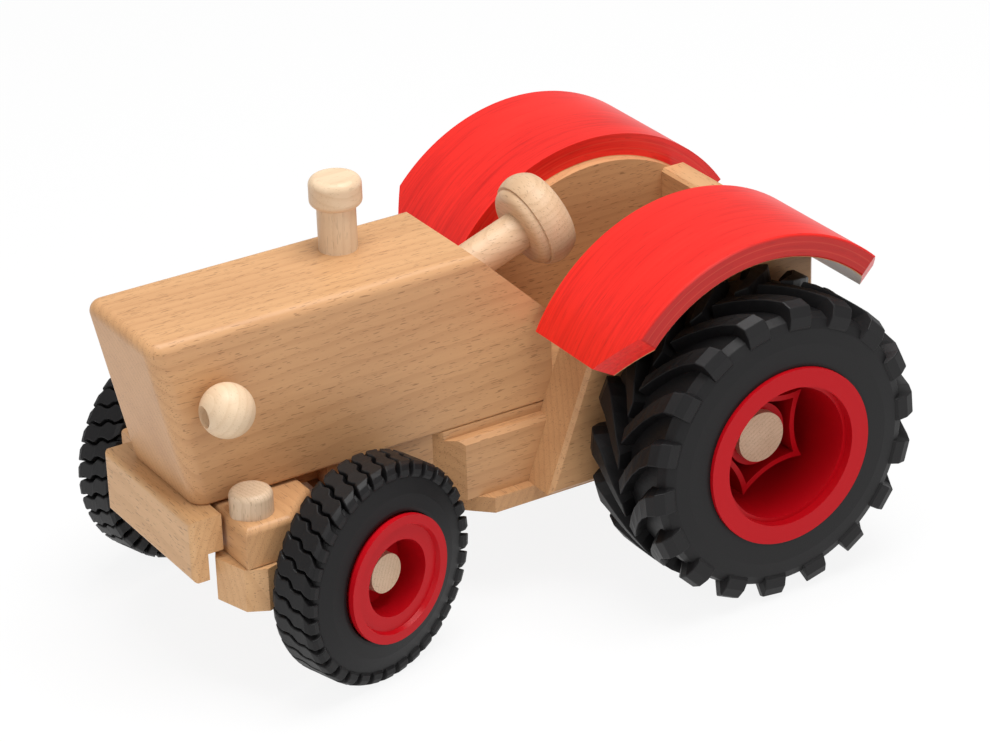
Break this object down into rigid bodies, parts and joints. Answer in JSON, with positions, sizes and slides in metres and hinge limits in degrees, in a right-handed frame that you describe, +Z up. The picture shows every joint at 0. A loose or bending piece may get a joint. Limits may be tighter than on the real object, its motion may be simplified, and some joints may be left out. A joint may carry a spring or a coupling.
{
  "type": "toy tractor",
  "caption": "Wooden toy tractor with turning rubber-tyred wheels, linked front steering by knuckles on pegs, and a turning steering wheel.",
  "frame": {"origin": "on the floor under the middle of the tractor", "axes": "+X forwards along the bonnet, +Y to the tractor's left, +Z up"},
  "size_m": [0.2762, 0.1924, 0.1635],
  "materials": {
    "beech": "oiled beech, satin",
    "beech_pale": "pale beech, satin",
    "striped_dowel": "ring-porous hardwood dowel, satin",
    "red_stained_ply": "bent plywood with red stain under clear lacquer",
    "red_plastic": "smooth moulded plastic",
    "black_rubber": "matte black rubber"
  },
  "bodies": {
    "tractor_body": {"bonnet": "beech", "chassis_block": "beech", "front_rail": "beech", "cross_beam": "beech", "front_board": "beech_pale", "base_plate": "beech", "step_block_left": "beech", "step_block_right": "beech", "side_panel_left": "beech", "side_panel_right": "beech", "backboard": "beech", "fender_left": "red_stained_ply", "fender_right": "red_stained_ply", "exhaust_stem": "beech_pale", "exhaust_cap": "beech_pale", "headlight_left": "beech_pale", "headlight_right": "beech_pale", "headlight_pin_left": "beech_pale", "headlight_pin_right": "beech_pale", "kingpin_left": "striped_dowel", "kingpin_right": "striped_dowel"},
    "hand_wheel": {"steering_column": "beech_pale", "steering_wheel": "beech_pale"},
    "steering_left": {"knuckle_left": "beech", "stub_axle_left": "striped_dowel", "tie_pin_left": "striped_dowel"},
    "steering_right": {"knuckle_right": "beech", "stub_axle_right": "striped_dowel", "tie_pin_right": "striped_dowel"},
    "tie": {"tie_rod": "beech"},
    "front_wheel_left": {"front_rim_left": "red_plastic", "front_tyre_left": "black_rubber"},
    "front_wheel_right": {"front_rim_right": "red_plastic", "front_tyre_right": "black_rubber"},
    "rear_wheels": {"rear_axle": "striped_dowel", "rear_rim_left": "red_plastic", "rear_rim_right": "red_plastic", "rear_tyre_left": "black_rubber", "rear_tyre_right": "black_rubber"}
  },
  "joints": [
    {"name": "hand_wheel_turn", "type": "hinge", "parent": "tractor_body", "child": "hand_wheel", "pos_m": [-0.00275, 0, 0.1195], "axis": [-0.9426, 0, 0.3338], "continuous": true},
    {"name": "steer_left", "type": "hinge", "parent": "tractor_body", "child": "steering_left", "pos_m": [0.1089, 0.0362, 0.043], "axis": [0, 0, 1], "range_deg": [-36.5, 3.5]},
    {"name": "steer_right", "type": "hinge", "parent": "tractor_body", "child": "steering_right", "pos_m": [0.1089, -0.0362, 0.043], "axis": [0, 0, 1], "range_deg": [-36.5, 3.5]},
    {"name": "tie_turn", "type": "hinge", "parent": "steering_left", "child": "tie", "pos_m": [0.06959, 0.02456, 0.055], "axis": [0, 0, 1], "range_deg": [-3.5, 36.5]},
    {"name": "front_spin_left", "type": "hinge", "parent": "steering_left", "child": "front_wheel_left", "pos_m": [0.07879, 0.02728, 0.0418], "axis": [-0.284, 0.9588, 0], "continuous": true},
    {"name": "front_spin_right", "type": "hinge", "parent": "steering_right", "child": "front_wheel_right", "pos_m": [0.07879, -0.04512, 0.0418], "axis": [-0.284, 0.9588, 0], "continuous": true},
    {"name": "rear_spin", "type": "hinge", "parent": "tractor_body", "child": "rear_wheels", "pos_m": [-0.07915, 0, 0.059], "axis": [0, 1, 0], "continuous": true}
  ],
  "couplings": [
    {"joint": "steer_right", "follows": "steer_left", "ratio": 1},
    {"joint": "tie_turn", "follows": "steer_left", "ratio": -1}
  ]
}
